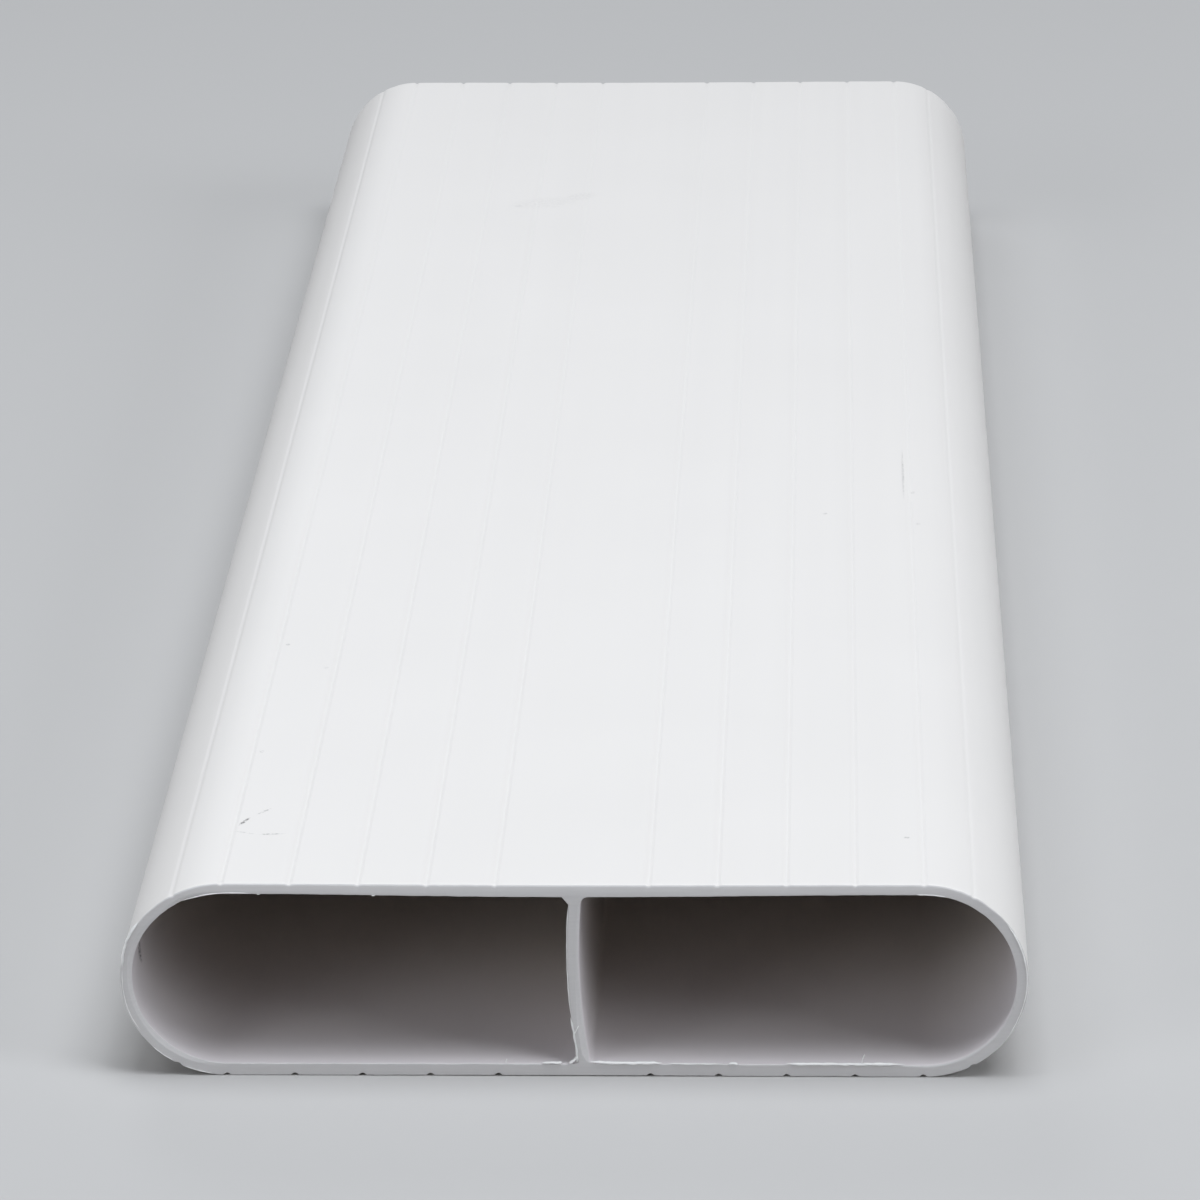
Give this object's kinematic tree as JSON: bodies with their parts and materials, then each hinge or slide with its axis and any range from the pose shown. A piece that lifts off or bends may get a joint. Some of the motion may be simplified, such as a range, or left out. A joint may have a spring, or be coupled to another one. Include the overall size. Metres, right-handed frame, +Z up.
{
  "type": "flat channel duct",
  "caption": "Sawn length of white rigid plastic ventilation duct, a wide flat oval split into two air channels by a web, with fine grooves along the outside.",
  "frame": {"origin": "under the middle of the duct, on the surface that it lies on", "axes": "+X across the flat, +Y along the length from the sawn end nearest the picture's camera to the far end, +Z up through the flat sides"},
  "size_m": [0.15, 0.5, 0.0345],
  "materials": {
    "white_pvc": "satin as extruded, sawn at the ends"
  },
  "bodies": {
    "root": {"duct": "white_pvc"}
  },
  "joints": []
}
